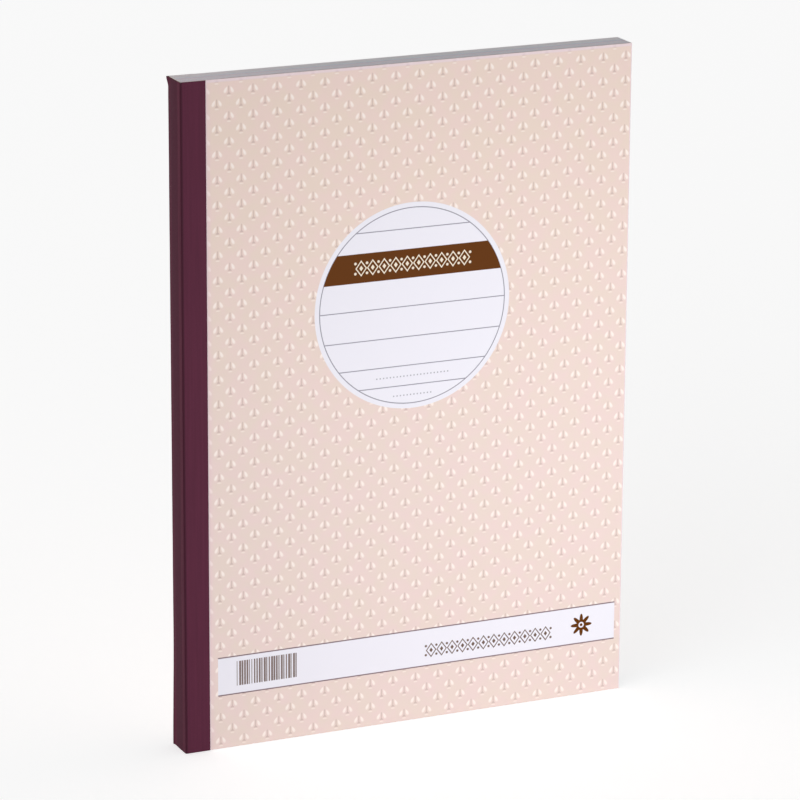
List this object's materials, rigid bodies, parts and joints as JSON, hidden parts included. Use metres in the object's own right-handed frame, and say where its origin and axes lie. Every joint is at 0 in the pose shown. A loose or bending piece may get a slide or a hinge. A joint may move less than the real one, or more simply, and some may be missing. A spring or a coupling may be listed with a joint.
{
  "type": "carbonless invoice book",
  "caption": "Card-covered carbonless invoice book with a cloth-taped, stapled spine, turning and tear-off copies and a loose writing shield.",
  "frame": {"origin": "middle of the base, where the book stands on its tail edge", "axes": "+X from the spine to the fore-edge, -Y out of the front cover, +Z from tail to head"},
  "size_m": [0.21, 0.0142, 0.297],
  "materials": {
    "tape_maroon": "maroon cloth-effect binding tape, satin",
    "cover_card": "printed peach card, slight satin",
    "sheet_white": "white carbonless paper, matt",
    "sheet_blue": "pale blue carbonless paper, matt",
    "sheet_pink": "pale pink carbonless paper, matt",
    "sheet_block": "stacked white, blue and pink sheets, trimmed edges",
    "shield_board": "plain unbleached card, matt",
    "staple_wire": "galvanised steel wire",
    "glue": "dried cream-coloured glue film"
  },
  "bodies": {
    "binding": {"spine_tape": "tape_maroon", "spine_glue": "glue", "front_cover_bound_strip": "cover_card", "back_cover_bound_strip": "cover_card", "staple_tail": "staple_wire", "staple_middle": "staple_wire", "staple_head": "staple_wire", "set_01_top_bound_strip": "sheet_white", "set_01_second_bound_strip": "sheet_blue", "set_01_third_bound_strip": "sheet_pink", "sets_02_03": "sheet_block", "sets_04_05": "sheet_block", "sets_06_07": "sheet_block", "sets_08_09": "sheet_block", "sets_10_11": "sheet_block", "sets_12_13": "sheet_block", "sets_14_15": "sheet_block", "sets_16_17": "sheet_block", "sets_18_19": "sheet_block", "sets_20_21": "sheet_block", "sets_22_23": "sheet_block", "sets_24_25": "sheet_block", "sets_26_27": "sheet_block", "sets_28_29": "sheet_block", "sets_30_31": "sheet_block", "sets_32_33": "sheet_block", "sets_34_35": "sheet_block", "sets_36_37": "sheet_block", "sets_38_39": "sheet_block", "sets_40_41": "sheet_block", "sets_42_43": "sheet_block", "sets_44_45": "sheet_block", "sets_46_47": "sheet_block", "sets_48_49": "sheet_block", "set_50": "sheet_block"},
    "front_cover": {"front_cover": "cover_card"},
    "back_cover": {"back_cover": "cover_card"},
    "top_stub": {"set_01_top_stub": "sheet_white"},
    "top_copy": {"set_01_top_copy": "sheet_white"},
    "second_stub": {"set_01_second_stub": "sheet_blue"},
    "second_copy": {"set_01_second_copy": "sheet_blue"},
    "third_copy": {"set_01_third_copy": "sheet_pink"},
    "writing_shield": {"writing_shield": "shield_board"}
  },
  "joints": [
    {"name": "front_cover_hinge", "type": "hinge", "parent": "binding", "child": "front_cover", "pos_m": [-0.09345, -0.00717, 0.1485], "axis": [0, 0, -1], "range_deg": [0, 180]},
    {"name": "back_cover_hinge", "type": "hinge", "parent": "binding", "child": "back_cover", "pos_m": [-0.09345, 0.00717, 0.1485], "axis": [0, 0, 1], "range_deg": [0, 180]},
    {"name": "top_copy_turn", "type": "hinge", "parent": "binding", "child": "top_stub", "pos_m": [-0.09, -0.0064, 0.1485], "axis": [0, 0, -1], "range_deg": [0, 150]},
    {"name": "second_copy_turn", "type": "hinge", "parent": "binding", "child": "second_stub", "pos_m": [-0.0895, -0.00632, 0.1485], "axis": [0, 0, -1], "range_deg": [0, 145]},
    {"name": "third_copy_turn", "type": "hinge", "parent": "binding", "child": "third_copy", "pos_m": [-0.089, -0.00623, 0.1485], "axis": [0, 0, -1], "range_deg": [0, 140]},
    {"name": "top_copy_tear", "type": "slide", "parent": "top_stub", "child": "top_copy", "axis": [1, 0, 0], "range_m": [0, 0.2]},
    {"name": "second_copy_tear", "type": "slide", "parent": "second_stub", "child": "second_copy", "axis": [1, 0, 0], "range_m": [0, 0.2]},
    {"name": "shield_slide", "type": "slide", "parent": "binding", "child": "writing_shield", "axis": [1, 0, 0], "range_m": [0, 0.2]}
  ],
  "couplings": [
    {"joint": "top_copy_turn", "follows": "front_cover_hinge", "ratio": 0.8333},
    {"joint": "second_copy_turn", "follows": "front_cover_hinge", "ratio": 0.8055},
    {"joint": "third_copy_turn", "follows": "front_cover_hinge", "ratio": 0.7777}
  ]
}
